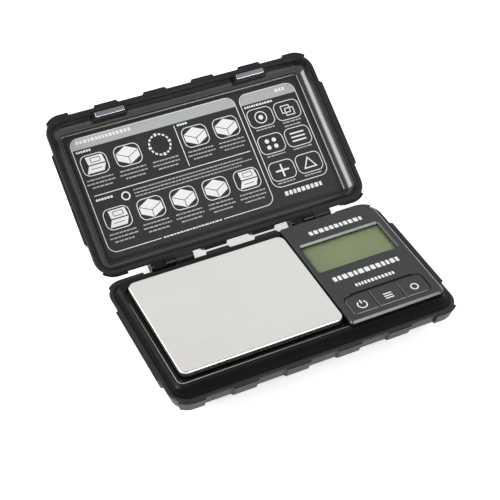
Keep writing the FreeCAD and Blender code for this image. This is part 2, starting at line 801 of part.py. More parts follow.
# ---- write every part ---------------------------------------------------
def all_parts():
    return {
        "lower_shell": lower_shell(),
        "top_deck": top_deck(),
        "battery_door": battery_door(),
        "rubber_feet": rubber_feet(),
        "case_screws": case_screws(),
        "keeper_plates": keeper_plates(),
        "display_window": display_window(),
        "lcd_glass": lcd_glass(),
        "lcd_holder": lcd_holder(),
        "lcd_backlight": lcd_backlight(),
        "lcd_connector": lcd_connector(),
        "main_board": main_board(),
        "board_screws": board_screws(),
        "controller_chip": controller_chip(),
        "key_domes": key_domes(),
        "power_key": key_cap(0),
        "mode_key": key_cap(1),
        "tare_key": key_cap(2),
        "battery_front": battery(-1),
        "battery_rear": battery(1),
        "battery_bridge": battery_bridge(),
        "battery_terminals": battery_terminals(),
        "load_cell": load_cell(),
        "load_cell_mount": load_cell_mount(),
        "load_cell_screws": load_cell_screws(),
        "strain_gauges": strain_gauges(),
        "load_cell_lead": load_cell_lead(),
        "lead_socket": lead_socket(),
        "platform_screws": platform_screws(),
        "tray_carrier": tray_carrier(),
        "tray_pads": tray_pads(),
        "weighing_tray": weighing_tray(),
        "lid_shell": opened(lid_shell()),
        "lid_label": opened(lid_label()),
        "magnet_holders": opened(magnet_holders()),
        "magnet_left": opened(magnet_slot(magnet_centres[0])),
        "magnet_right": opened(magnet_slot(magnet_centres[1])),
        "hinge_pin_left": hinge_pin(hinge_centres[0]),
        "hinge_pin_right": hinge_pin(hinge_centres[1]),
    }


def origin_shift(parts):
    """Move that puts the origin midway between the front pads and the open lid's far edge."""
    front = parts["lower_shell"].BoundBox.YMin
    back = parts["lid_shell"].BoundBox.YMax
    return V(0, -(front + back) / 2, 0)


def main():
    os.makedirs("parts", exist_ok=True)
    parts = all_parts()
    shift = origin_shift(parts)
    for name, shape in parts.items():
        shape.translate(shift)
        shape.exportStep(os.path.join("parts", name + ".step"))
    print("origin moved by", round(-shift.y, 4), "mm along Y")


main()
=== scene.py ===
import json
import math
import random

import bmesh
import bpy
from mathutils import Matrix, Vector


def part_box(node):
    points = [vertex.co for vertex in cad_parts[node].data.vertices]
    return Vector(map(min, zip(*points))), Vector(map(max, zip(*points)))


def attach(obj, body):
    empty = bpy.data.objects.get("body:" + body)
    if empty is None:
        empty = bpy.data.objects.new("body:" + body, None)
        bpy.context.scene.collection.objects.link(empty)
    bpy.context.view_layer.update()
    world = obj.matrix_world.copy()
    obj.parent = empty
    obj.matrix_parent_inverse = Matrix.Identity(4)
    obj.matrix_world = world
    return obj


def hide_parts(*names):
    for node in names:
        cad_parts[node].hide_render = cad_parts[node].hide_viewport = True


# Looks of the pocket gram scale: finer copies of the moulded parts, printed marks, finishes,
# and a plain bright studio.  Lengths are metres, written as millimetres times MM.  Printed
# marks alone are drawn in plain millimetres.

MM = 0.001
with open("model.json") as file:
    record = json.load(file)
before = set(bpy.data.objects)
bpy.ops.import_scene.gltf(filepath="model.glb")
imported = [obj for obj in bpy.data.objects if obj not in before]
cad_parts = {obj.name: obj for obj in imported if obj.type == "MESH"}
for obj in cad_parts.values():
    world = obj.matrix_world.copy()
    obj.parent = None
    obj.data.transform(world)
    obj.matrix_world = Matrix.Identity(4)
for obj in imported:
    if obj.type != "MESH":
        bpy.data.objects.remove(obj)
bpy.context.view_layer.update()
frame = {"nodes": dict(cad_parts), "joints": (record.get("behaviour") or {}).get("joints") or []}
joints = {joint["name"]: joint for joint in frame["joints"]}

# ---- where things are, from the frame -----------------------------------
hinge = Vector(joints["lid_hinge"]["pos_m"])
open_angle = math.radians(max(joints["lid_hinge"]["range_deg"]))
deck_low, deck_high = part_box("top_deck")
panel_top = deck_high.z
case_centre = (deck_low + deck_high) / 2
label_low, label_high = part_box("lid_label")
label_film = 0.25 * MM       # thickness of the sticker

RIGHT = Vector((1, 0, 0))
BACKWARDS = Vector((0, 1, 0))

# The lid's own directions in the modelled position: along the hinge, away from it, and out
# of the lid's hollow.
lid_right = RIGHT
lid_away = Vector((0, -math.cos(open_angle), math.sin(open_angle)))
lid_out = lid_right.cross(lid_away)


def drawing_space(origin, right, up):
    """Matrix from drawing space (right, up, outwards, in millimetres) to the model."""
    out = right.cross(up)
    matrix = Matrix((right * MM, up * MM, out * MM)).transposed().to_4x4()
    matrix.translation = origin
    return matrix


LABEL_FACE = drawing_space((label_low + label_high) / 2 + lid_out * label_film / 2,
                           lid_right, lid_away)
PANEL_FACE = drawing_space(Vector((case_centre.x, case_centre.y, panel_top)), RIGHT, BACKWARDS)


# ---- finishes -------------------------------------------------------------
NOISE_LOW, NOISE_HIGH = 0.3, 0.7     # the part of a noise's range that its values fill


class Finish:
    """A procedural material, built up one layer at a time on the object's own coordinates."""

    def __init__(self, name, colour, roughness, metallic=0.0, specular=0.5):
        self.material = bpy.data.materials.new(name)
        self.material.use_nodes = True
        self.tree = self.material.node_tree
        self.shader = self.tree.nodes["Principled BSDF"]
        self.shader.inputs["Base Color"].default_value = (*colour, 1)
        self.shader.inputs["Roughness"].default_value = roughness
        self.shader.inputs["Metallic"].default_value = metallic
        self.shader.inputs["Specular IOR Level"].default_value = specular
        self.place = self.add("ShaderNodeTexCoord").outputs["Object"]
        self.colour = colour
        self.roughness = roughness
        self.relief = None

    def add(self, kind, **settings):
        node = self.tree.nodes.new(kind)
        for key, value in settings.items():
            setattr(node, key, value)
        return node

    def link(self, a, b):
        self.tree.links.new(a, b)

    def noise(self, size, stretch=(1, 1, 1), detail=3.0, roughness=0.5):
        """Noise whose features are about size metres across, longer along each axis by stretch."""
        mapping = self.add("ShaderNodeMapping")
        mapping.inputs["Scale"].default_value = [1 / (size * s) for s in stretch]
        self.link(self.place, mapping.inputs["Vector"])
        node = self.add("ShaderNodeTexNoise")
        node.inputs["Scale"].default_value = 1.0
        node.inputs["Detail"].default_value = detail
        node.inputs["Roughness"].default_value = roughness
        self.link(mapping.outputs["Vector"], node.inputs["Vector"])
        return node.outputs["Fac"]

    def spread(self, value, low, high):
        """A noise's values stretched to run from low to high."""
        node = self.add("ShaderNodeMapRange")
        node.inputs["From Min"].default_value = NOISE_LOW
        node.inputs["From Max"].default_value = NOISE_HIGH
        node.inputs["To Min"].default_value = low
        node.inputs["To Max"].default_value = high
        self.link(value, node.inputs["Value"])
        return node.outputs["Result"]

    def tint(self, value, low, high):
        """Base colour that runs from low to high times the finish's colour."""
        ramp = self.add("ShaderNodeValToRGB")
        ramp.color_ramp.elements[0].position = NOISE_LOW
        ramp.color_ramp.elements[1].position = NOISE_HIGH
        ramp.color_ramp.elements[0].color = (*[c * low for c in self.colour], 1)
        ramp.color_ramp.elements[1].color = (*[c * high for c in self.colour], 1)
        self.link(value, ramp.inputs["Fac"])
        self.link(ramp.outputs["Color"], self.shader.inputs["Base Color"])

    def vary_roughness(self, value, amount):
        self.link(self.spread(value, self.roughness - amount, self.roughness + amount),
                  self.shader.inputs["Roughness"])

    def bump(self, value, depth, strength=1.0):
        """Adds relief of that depth in metres on top of what is there."""
        node = self.add("ShaderNodeBump")
        node.inputs["Distance"].default_value = depth
        node.inputs["Strength"].default_value = strength
        self.link(value, node.inputs["Height"])
        if self.relief:
            self.link(self.relief, node.inputs["Normal"])
        self.relief = node.outputs["Normal"]
        self.link(self.relief, self.shader.inputs["Normal"])


COAT_ROUGHNESS = 0.12


def moulded(name, colour, roughness, grain=0.35 * MM, depth=0.006 * MM, specular=0.5, coat=0.0):
    """Moulded plastic: a fine pebble grain, cloudy gloss and a few long scuffs."""
    finish = Finish(name, colour, roughness, specular=specular)
    pebble = finish.noise(grain, detail=2.0)
    cloud = finish.noise(9 * MM, detail=4.0)
    scuff = finish.noise(0.5 * MM, stretch=(22, 3, 3), detail=2.0)
    finish.tint(cloud, low=0.92, high=1.1)
    finish.vary_roughness(cloud, amount=0.02)
    finish.bump(cloud, depth=0.003 * MM, strength=0.3)
    finish.bump(scuff, depth=0.0015 * MM, strength=0.5)
    finish.bump(pebble, depth)
    finish.shader.inputs["Coat Weight"].default_value = coat
    finish.shader.inputs["Coat Roughness"].default_value = COAT_ROUGHNESS
    return finish.material


def glossy(name, colour, roughness, specular):
    """Polished black plastic with faint ripples and fine hairline scratches."""
    finish = Finish(name, colour, roughness, specular=specular)
    ripple = finish.noise(6 * MM, detail=2.0)
    hairline = finish.noise(0.12 * MM, stretch=(60, 2, 2), detail=1.0)
    finish.tint(ripple, low=0.8, high=1.25)
    finish.vary_roughness(hairline, amount=0.04)
    finish.bump(ripple, depth=0.015 * MM, strength=0.4)
    finish.bump(hairline, depth=0.001 * MM, strength=0.6)
    return finish.material


def brushed(name, colour, roughness, along=(60, 1, 1), depth=0.004 * MM):
    """Metal brushed along one axis, with hand marks in the gloss."""
    finish = Finish(name, colour, roughness, metallic=1.0)
    line = finish.noise(0.16 * MM, stretch=along, detail=4.0, roughness=0.7)
    broad = finish.noise(1.3 * MM, stretch=along, detail=2.0)
    smear = finish.noise(14 * MM, detail=3.0)
    finish.tint(broad, low=0.985, high=1.015)
    finish.vary_roughness(smear, amount=0.015)
    finish.bump(line, depth)
    finish.bump(broad, depth, strength=0.3)
    return finish.material


def printed(name, colour):
    """Screen-printed ink, slightly uneven in cover."""
    finish = Finish(name, colour, roughness=0.5)
    speck = finish.noise(0.25 * MM, detail=3.0)
    finish.tint(speck, low=0.88, high=1.06)
    finish.vary_roughness(speck, amount=0.05)
    finish.bump(speck, depth=0.002 * MM)
    return finish.material


def flat_part(name, colour, roughness, metallic=0.0):
    """Finish for the small pieces inside."""
    finish = Finish(name, colour, roughness, metallic=metallic)
    speck = finish.noise(0.4 * MM, detail=3.0)
    patch = finish.noise(5 * MM, detail=2.0)
    finish.tint(patch, low=0.85, high=1.15)
    finish.vary_roughness(speck, amount=0.06)
    finish.bump(speck, depth=0.004 * MM)
    return finish.material


def board_green():
    """Circuit board under green lacquer, with a brick pattern standing in for its tracks."""
    finish = Finish("solder_mask", (0.02, 0.12, 0.05), roughness=0.35)
    track = finish.add("ShaderNodeTexBrick")
    track.inputs["Scale"].default_value = 320.0
    track.inputs["Mortar Size"].default_value = 0.05
    track.inputs["Color1"].default_value = (0.012, 0.09, 0.035, 1)
    track.inputs["Color2"].default_value = (0.03, 0.16, 0.06, 1)
    track.inputs["Mortar"].default_value = (0.05, 0.2, 0.08, 1)
    finish.link(finish.place, track.inputs["Vector"])
    finish.link(track.outputs["Color"], finish.shader.inputs["Base Color"])
    finish.bump(track.outputs["Fac"], depth=0.02 * MM, strength=0.5)
    return finish.material


def clear_window():
    """Thin clear plastic with faint smears."""
    finish = Finish("clear_acrylic", (0.97, 0.98, 0.96), roughness=0.04)
    finish.shader.inputs["Transmission Weight"].default_value = 1.0
    finish.shader.inputs["IOR"].default_value = 1.2
    finish.shader.inputs["Alpha"].default_value = 0.35
    smear = finish.noise(8 * MM, detail=3.0)
    finish.link(finish.spread(smear, low=0.02, high=0.08), finish.shader.inputs["Roughness"])
    finish.bump(smear, depth=0.002 * MM, strength=0.3)
    return finish.material


def liquid_crystal():
    """Reflective display glass, slightly cloudy, with a fine weave in its surface."""
    finish = Finish("display_olive", (0.152, 0.19, 0.086), roughness=0.28)
    cloud = finish.noise(24 * MM, detail=1.0)
    weave = finish.noise(0.2 * MM, detail=1.0)
    finish.tint(cloud, low=0.93, high=1.08)
    finish.vary_roughness(cloud, amount=0.04)
    finish.bump(weave, depth=0.001 * MM, strength=0.5)
    return finish.material


SHELL = moulded("shell_black", (0.0095, 0.0097, 0.0098), 0.44, specular=0.3)
DECK = moulded("deck_black", (0.0032, 0.0033, 0.0032), 0.34, grain=0.3 * MM, specular=0.15)
PANEL = moulded("panel_charcoal", (0.019, 0.021, 0.021), 0.36, grain=0.28 * MM, specular=0.42)
# Panel bevels: glossier than the panel top, and painted lighter in colour as a painted highlight.
BEVEL = moulded("bevel_gloss_and_painted_highlight", (0.03, 0.032, 0.032), 0.24,
                grain=0.28 * MM, depth=0.002 * MM, specular=0.6)
# Painted highlight: a light grey, coated finish for the line along the ridge's crest, much lighter
# than the deck so that the line shows bright.
PAINTED_CREST_HIGHLIGHT = moulded("ridge_highlight_paint", (0.2, 0.2, 0.203), 0.2,
                grain=0.3 * MM, depth=0.002 * MM, specular=1.0, coat=1.0)
LID_INSIDE = glossy("lid_gloss_black", (0.007, 0.007, 0.0075), 0.21, specular=0.7)
BARREL = glossy("barrel_black", (0.003, 0.003, 0.003), 0.3, specular=0.25)
KEY = moulded("key_charcoal", (0.022, 0.0245, 0.0245), 0.42, grain=0.25 * MM, specular=0.42)
# Key chamfers: glossier than the key tops, and painted lighter in colour as a painted highlight.
KEY_EDGE_PAINTED_HIGHLIGHT = moulded("key_chamfer_gloss_and_painted_highlight", (0.045, 0.048, 0.048), 0.28,
                   grain=0.25 * MM, depth=0.002 * MM, specular=0.9)
LABEL = moulded("label_charcoal_film", (0.0125, 0.0125, 0.013), 0.4,
                grain=0.22 * MM, depth=0.003 * MM)
STEEL = brushed("tray_stainless", (0.80, 0.785, 0.755), 0.3, depth=0.0014 * MM)
NICKEL = brushed("magnet_nickel", (0.55, 0.58, 0.62), 0.25, along=(8, 1, 1))
INK = printed("ink_white", (0.68, 0.69, 0.7))
INK_GREY = printed("ink_grey", (0.36, 0.37, 0.38))
INK_SOFT = printed("ink_soft", (0.36, 0.37, 0.37))
INK_DARK = printed("ink_dark", (0.045, 0.045, 0.046))
LEGEND = printed("legend_white", (0.7, 0.71, 0.72))

# The finish of each CAD piece that is shown as it is.
PLAIN = {
    "battery_door": SHELL,
    "rubber_feet": flat_part("foot_rubber", (0.02, 0.02, 0.021), 0.8),
    "case_screws": flat_part("screw_steel", (0.45, 0.45, 0.46), 0.3, metallic=1.0),
    "board_screws": flat_part("board_screw_steel", (0.5, 0.5, 0.5), 0.3, metallic=1.0),
    "load_cell_screws": flat_part("cell_screw_zinc", (0.55, 0.54, 0.5), 0.3, metallic=1.0),
    "platform_screws": flat_part("platform_screw_zinc", (0.55, 0.54, 0.5), 0.3, metallic=1.0),
    "keeper_plates": flat_part("keeper_steel", (0.4, 0.4, 0.4), 0.4, metallic=1.0),
    "display_window": clear_window(),
    "lcd_glass": liquid_crystal(),
    "lcd_holder": flat_part("holder_frame_black", (0.02, 0.02, 0.02), 0.5),
    "lcd_backlight": flat_part("diffuser_milky", (0.75, 0.76, 0.72), 0.6),
    "lcd_connector": flat_part("zebra_elastomer", (0.35, 0.35, 0.36), 0.7),
    "main_board": board_green(),
    "controller_chip": flat_part("chip_epoxy_black", (0.012, 0.012, 0.013), 0.35),
    "key_domes": flat_part("dome_rubber", (0.3, 0.3, 0.3), 0.6),
    "battery_front": flat_part("battery_sleeve_front", (0.05, 0.12, 0.28), 0.3),
    "battery_rear": flat_part("battery_sleeve_rear", (0.05, 0.12, 0.28), 0.3),
    "battery_bridge": brushed("spring_steel_bridge", (0.6, 0.6, 0.58), 0.3),
    "battery_terminals": brushed("spring_steel_terminals", (0.6, 0.6, 0.58), 0.3),
    "load_cell": brushed("cell_aluminium", (0.75, 0.76, 0.77), 0.35),
    "load_cell_mount": brushed("mount_aluminium", (0.7, 0.7, 0.71), 0.4),
    "strain_gauges": flat_part("gauge_compound", (0.75, 0.74, 0.7), 0.5),
    "load_cell_lead": flat_part("lead_sheath", (0.25, 0.25, 0.26), 0.5),
    "lead_socket": flat_part("socket_nylon", (0.7, 0.68, 0.6), 0.5),
    "tray_carrier": moulded("carrier_abs", (0.02, 0.02, 0.021), 0.5),
    "tray_pads": flat_part("pad_tape", (0.3, 0.3, 0.3), 0.8),
    "magnet_holders": LID_INSIDE,
    "hinge_pin_left": brushed("pin_steel_left", (0.5, 0.5, 0.5), 0.3),
    "hinge_pin_right": brushed("pin_steel_right", (0.5, 0.5, 0.5), 0.3),
}
for node_name, material in PLAIN.items():
    node = frame["nodes"][node_name]
    for material_slot in node.material_slots:
        material_slot.material = material


# ---- finer copies of the moulded and pressed parts --------------------------
MERGE_DISTANCE = 0.002 * MM
FLAT_ENOUGH = math.radians(0.6)      # facets that turn less than this become one face
SHARP_EDGE = math.radians(28)        # edges that turn more than this are rounded
EDGE_SEGMENTS = 3


def finer(node, name, body, materials, choose=None, edge=0.2 * MM):
    """The CAD part again with joined facets and rounded edges, standing for the node."""
    built = bmesh.new()
    built.from_mesh(frame["nodes"][node].data)
    bmesh.ops.remove_doubles(built, verts=built.verts, dist=MERGE_DISTANCE)
    bmesh.ops.dissolve_limit(built, angle_limit=FLAT_ENOUGH, verts=built.verts, edges=built.edges)
    for face in built.faces:
        face.smooth = True
        if choose:
            face.material_index = choose(face)
    mesh = bpy.data.meshes.new(name)
    built.to_mesh(mesh)
    built.free()
    piece = bpy.data.objects.new(name, mesh)
    bpy.context.scene.collection.objects.link(piece)
    for material in materials:
        mesh.materials.append(material)
    bevel = piece.modifiers.new("round_edges", "BEVEL")
    bevel.width = edge
    bevel.segments = EDGE_SEGMENTS
    bevel.limit_method = "ANGLE"
    bevel.angle_limit = SHARP_EDGE
    bevel.use_clamp_overlap = True
    normals = piece.modifiers.new("even_shading", "WEIGHTED_NORMAL")
    normals.keep_sharp = True
    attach(piece, body)
    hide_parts(node)


# How a face's place and direction tell which finish it has.
FACES_UP = 0.95                      # upward part of its normal: above this it is level
SLOPES_UP = 0.3                      # above this it is a bevel of the panel
CHAMFER_UP = 0.2                     # above this it is a key's chamfer
PANEL_DEPTH = 0.9 * MM               # the raised panel, below the deck's highest face
KEY_CHAMFER_DEPTH = 0.4 * MM
BARREL_REACH = 2.6 * MM              # everything this near the hinge's axis is barrel
LOOKS_OUT = 0.05                     # part of its normal that points out of the lid's hollow
LID_RIM_DEPTH = 0.6 * MM             # how far the lid's rim goes down from the hinge's level


def deck_finish(face):
    """Slope and pocket, the control panel's top, and its bevels, which are glossier and also
    painted lighter as a painted highlight.
    """
    drop = panel_top - face.calc_center_median().z
    if drop < PANEL_DEPTH and face.normal.z > SLOPES_UP:
        return 1 if face.normal.z > FACES_UP else 2
    return 0


def key_finish(face):
    """A key's top and sides, and the chamfer between them, which is glossier and also painted
    lighter as a painted highlight.
    """
    near_top = face.calc_center_median().z > panel_top - KEY_CHAMFER_DEPTH
    return 1 if near_top and CHAMFER_UP < face.normal.z < FACES_UP else 0


def lid_finish(face):
    """The hollow is polished, the barrels are dark and smooth, the rest is grained."""
    from_hinge = face.calc_center_median() - hinge
    if math.hypot(from_hinge.y, from_hinge.z) < BARREL_REACH:
        return 2
    depth = -from_hinge.dot(lid_out)
    outward = face.normal.dot(lid_out)
    return 1 if outward > LOOKS_OUT and depth > LID_RIM_DEPTH else 0


finer("lower_shell", "base_housing", "base", [SHELL])
finer("top_deck", "deck_cover", "base", [DECK, PANEL, BEVEL], deck_finish, edge=0.18 * MM)
finer("lid_shell", "lid_housing", "lid", [SHELL, LID_INSIDE, BARREL], lid_finish)
finer("lid_label", "lid_label_film", "lid", [LABEL], edge=0.06 * MM)
for magnet in ("magnet_left", "magnet_right"):
    finer(magnet, magnet + "_block", "lid", [NICKEL], edge=0.3 * MM)
finer("weighing_tray", "steel_tray", "platform", [STEEL], edge=0.1 * MM)
for key_name in ("power_key", "mode_key", "tare_key"):
    finer(key_name, key_name + "_cap", key_name, [KEY, KEY_EDGE_PAINTED_HIGHLIGHT], key_finish,
          edge=0.08 * MM)


# ---- printed marks ------------------------------------------------------------
ARC_STEP = 15                # degrees between the points of a round corner
LEAST_RADIUS = 0.05
UNDER_HALF = 2.01            # a side over this is the largest corner radius that it takes
INK_THICKNESS = 0.03
DASH_ROUNDING = 0.15         # corner radius of a dash over its height


class Print:
    """Flat marks drawn in millimetres, each one closed outline or strip of quads."""

    def __init__(self):
        self.points = []
        self.faces = []

    def add_faces(self, faces):
        """Keeps the faces of one outline or strip, turned so that they run counterclockwise."""
        twice_area = 0
        for face in faces:
            for a, b in zip(face, face[1:] + face[:1]):
                (ax, ay), (bx, by) = self.points[a], self.points[b]
                twice_area += ax * by - bx * ay
        self.faces += faces if twice_area > 0 else [face[::-1] for face in faces]

    def polygon(self, points):
        start = len(self.points)
        self.points += points
        self.add_faces([list(range(start, start + len(points)))])

    def strip(self, outer, inner, closed):
        """Quads between two lines of points of the same length."""
        start = len(self.points)
        count = len(outer)
        self.points += outer + inner
        quads = []
        for i in range(count if closed else count - 1):
            j = (i + 1) % count
            quads.append([start + i, start + j, start + count + j, start + count + i])
        self.add_faces(quads)

    @staticmethod
    def rounded(x, y, width, height, radius):
        """Outline of a rectangle centred on x, y with round corners, counterclockwise."""
        points = []
        corners = ((1, 1, 0), (-1, 1, 90), (-1, -1, 180), (1, -1, 270))
        for side_x, side_y, first in corners:
            centre_x = x + side_x * (width / 2 - radius)
            centre_y = y + side_y * (height / 2 - radius)
            for step in range(90 // ARC_STEP + 1):
                angle = math.radians(first + step * ARC_STEP)
                points.append((centre_x + radius * math.cos(angle),
                               centre_y + radius * math.sin(angle)))
        return points

    def plate(self, x, y, width, height, radius):
        """Filled rectangle with round corners."""
        largest = min(width / UNDER_HALF, height / UNDER_HALF)
        self.polygon(self.rounded(x, y, width, height, min(radius, largest)))

    def border(self, x, y, width, height, radius, line):
        """Outline of a rectangle with round corners."""
        outer = self.rounded(x, y, width, height, radius)
        inner = self.rounded(x, y, width - 2 * line, height - 2 * line,
                             max(radius - line, LEAST_RADIUS))
        self.strip(outer, inner, True)

    def border_with_gap(self, x, y, width, height, radius, line, gap_left, gap_right):
        """Border whose lower line is left out between gap_left and gap_right."""
        lines = []
        for inset in (0, line):
            points = self.rounded(x, y, width - 2 * inset, height - 2 * inset, radius - inset)
            corner = len(points) // 4
            bottom = y - height / 2 + inset
            around = points[3 * corner:] + points[:3 * corner]
            lines.append([(gap_right, bottom)] + around + [(gap_left, bottom)])
        self.strip(lines[0], lines[1], False)

    def bar(self, x0, y0, x1, y1, line):
        """Straight stroke with square ends."""
        along = Vector((x1 - x0, y1 - y0)).normalized() * (line / 2)
        side = (-along.y, along.x)
        self.polygon([(x0 - side[0], y0 - side[1]), (x1 - side[0], y1 - side[1]),
                      (x1 + side[0], y1 + side[1]), (x0 + side[0], y0 + side[1])])

    def arc(self, x, y, radius, first, last, line):
        """Curved stroke from angle first to last, in degrees."""
        steps = max(2, round(abs(last - first) / ARC_STEP))
        outer, inner = [], []
        for step in range(steps + 1):
            angle = math.radians(first + (last - first) * step / steps)
            for ring, points in ((radius + line / 2, outer), (radius - line / 2, inner)):
                points.append((x + ring * math.cos(angle), y + ring * math.sin(angle)))
        self.strip(outer, inner, False)

    def ring(self, x, y, radius, line):
        outer = self.rounded(x, y, 2 * radius, 2 * radius, radius)
        inner = self.rounded(x, y, 2 * radius - 2 * line, 2 * radius - 2 * line, radius - line)
        self.strip(outer, inner, True)

    def disc(self, x, y, radius):
        self.polygon(self.rounded(x, y, 2 * radius, 2 * radius, radius))

    def dashes(self, x0, x1, y, height, short=1.2, long=3.6, gap=0.55):
        """A line of plain dashes where the real part has print, short to long heights wide."""
        x = x0
        while x < x1 - height:
            width = min(random.uniform(short, long) * height, x1 - x)
            self.plate(x + width / 2, y, width, height, height * DASH_ROUNDING)
            x += width + gap * height

    def make(self, name, space, material, body, thickness=INK_THICKNESS, lift=0.0):
        """Raises the marks into thin solid ink on the surface that space describes."""
        count = len(self.points)
        corners = [(x, y, z) for z in (lift, lift + thickness) for x, y in self.points]
        edges = {edge: None for face in self.faces for edge in zip(face, face[1:] + face[:1])}
        faces = [face[::-1] for face in self.faces]
        faces += [[count + i for i in face] for face in self.faces]
        faces += [[a, b, count + b, count + a] for a, b in edges if (b, a) not in edges]
        mesh = bpy.data.meshes.new(name)
        mesh.from_pydata(corners, [], faces)
        mesh.transform(space)
        mesh.materials.append(material)
        piece = bpy.data.objects.new(name, mesh)
        bpy.context.scene.collection.objects.link(piece)
        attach(piece, body)


# ---- the guide printed on the lid's label -------------------------------------
# Millimetres from the label's middle, to the right and away from the hinge.
FINE = 0.34                  # width of the printed lines
CUT = 0.3                    # width of the dark lines inside the pictures
PICTURE_WIDTH, PICTURE_HEIGHT, PICTURE_RADIUS = 11.8, 9.6, 3.0
GUIDE_LEFT, GUIDE_RIGHT, GUIDE_TOP, GUIDE_BOTTOM = -53.2, 23.6, 26.9, -25.4
NOTES_LEFT, NOTES_RIGHT, NOTES_TOP, NOTES_BOTTOM = 25.5, 52.9, 26.3, -19.4
HEADER_DEPTH = 4.8
FRAME_RADIUS = 4.0
UPPER_ROW, LOWER_ROW = 13.9, -11.3
UPPER_COLUMNS = (-45.6, -30.6, 0.9, 15.6)
LOWER_COLUMNS = (-44.6, -29.4, -14.4, 0.7, 15.6)
OPEN_UPPER, OPEN_LOWER = (0,), (0, 4)         # the pictures that show an open box
DIAL_X, DIAL_RADIUS, DIAL_STROKES, DIAL_STROKE_TURN = -15.6, 4.7, 16, 14
CAPTION_STEP, CAPTION_HEIGHT = 1.75, 0.56
UPPER_CAPTION, UPPER_CAPTION_HALVES = 7.4, (5.9, 6.4, 4.6)
LOWER_CAPTION, LOWER_CAPTION_HALVES = -17.7, (6.0, 6.4, 4.8)
HEADING = {"short": 0.7, "long": 1.3, "gap": 0.3}
TITLE = {"short": 0.6, "long": 1.1, "gap": 0.3}
HEADINGS = ((-51.6, -44.4, 20.6), (-5.3, -0.6, 20.6), (-50.8, -42.5, -1.7))
HEADING_HEIGHT, TITLE_HEIGHT = 0.95, 1.5
REMARK_LEFT, REMARK_RIGHTS, REMARK_TOP, REMARK_STEP = -34.0, (17.0, 21.0, 15.5), -1.7, 1.5
NOTE_COLUMNS, NOTE_TOP_ROW, NOTE_STEP = (32.5, 45.6), 13.9, 12.95
NOTE_WIDTH, NOTE_HEIGHT, NOTE_RADIUS = 12.2, 9.0, 2.8


def header_band(marks, left, right, top):
    """Filled band with round upper corners, a little inside the frame's line."""
    outline = Print.rounded((left + right) / 2, top - FRAME_RADIUS,
                            right - left, 2 * FRAME_RADIUS, FRAME_RADIUS)
    half = len(outline) // 2
    marks.polygon([(right, top - HEADER_DEPTH)] + outline[:half] + [(left, top - HEADER_DEPTH)])


def closed_box(pictures, lines, x, y):
    """A plain box seen from a corner."""
    outline = ((-5.0, -1.6), (0, -4.2), (5.0, -1.6), (5.0, 1.6), (0, 4.2), (-5.0, 1.6))
    near_corner = -1.0
    pictures.polygon([(x + dx, y + dy) for dx, dy in outline])
    for dx, dy in ((-4.8, 1.5), (4.8, 1.5), (0, -4.0)):
        lines.bar(x, y + near_corner, x + dx, y + dy, CUT)


def open_box(pictures, lines, x, y):
    """A plain box with its cover up."""
    for outline in (((-4.4, -3.6), (3.2, -3.6), (4.8, -0.4), (-2.8, -0.4)),
                    ((-2.8, 0.1), (4.8, 0.1), (4.2, 3.8), (-3.2, 3.8))):
        pictures.polygon([(x + dx, y + dy) for dx, dy in outline])
    lines.bar(x - 2.2, y - 2.0, x + 2.6, y - 2.0, CUT)
    lines.border(x + 0.8, y + 2.0, 4.6, 2.2, 0.4, CUT)


def picture_row(frames, pictures, lines, columns, y, opened):
    """Framed pictures of a box side by side, with those numbered in opened shown open."""
    for column, x in enumerate(columns):
        frames.border(x, y, PICTURE_WIDTH, PICTURE_HEIGHT, PICTURE_RADIUS, FINE)
        (open_box if column in opened else closed_box)(pictures, lines, x, y)


def caption_rows(captions, columns, top, halves):
    """Three lines of dashes under each picture."""
    for x in columns:
        for row, half in enumerate(halves):
            captions.dashes(x - half, x + half, top - CAPTION_STEP * row, CAPTION_HEIGHT)


def guide(frames, bands, words, captions, pictures, lines):
    """Left part of the label: two rows of steps under a band."""
    centre_x = (GUIDE_LEFT + GUIDE_RIGHT) / 2
    centre_y = (GUIDE_TOP + GUIDE_BOTTOM) / 2
    frames.border_with_gap(centre_x, centre_y, GUIDE_RIGHT - GUIDE_LEFT, GUIDE_TOP - GUIDE_BOTTOM,
                           FRAME_RADIUS, FINE, gap_left=-30.0, gap_right=-1.0)
    words.dashes(-29.0, -2.0, GUIDE_BOTTOM + FINE / 2, height=0.6)
    header_band(bands, GUIDE_LEFT + FINE, GUIDE_RIGHT - FINE, GUIDE_TOP - FINE)
    words.dashes(-50.4, -23.6, 24.9, TITLE_HEIGHT, **TITLE)
    frames.bar(-50.8, 0.4, 21.8, 0.4, FINE)
    frames.bar(-6.7, 20.9, -6.7, 1.7, FINE)
    for left, right, y in HEADINGS:
        words.dashes(left, right, y, HEADING_HEIGHT, **HEADING)

    picture_row(frames, pictures, lines, UPPER_COLUMNS, UPPER_ROW, OPEN_UPPER)
    picture_row(frames, pictures, lines, LOWER_COLUMNS, LOWER_ROW, OPEN_LOWER)
    for stroke in range(DIAL_STROKES):
        first = stroke * 360 / DIAL_STROKES
        pictures.arc(DIAL_X, UPPER_ROW + 0.6, DIAL_RADIUS, first, first + DIAL_STROKE_TURN,
                     line=0.8 if stroke % 4 else 1.3)
    caption_rows(captions, UPPER_COLUMNS + (DIAL_X,), UPPER_CAPTION, UPPER_CAPTION_HALVES)
    caption_rows(captions, LOWER_COLUMNS, LOWER_CAPTION, LOWER_CAPTION_HALVES)
    for row, right in enumerate(REMARK_RIGHTS):
        captions.dashes(REMARK_LEFT, right, REMARK_TOP - REMARK_STEP * row, height=0.5)
    words.ring(-37.9, -3.2, radius=2.0, line=0.6)


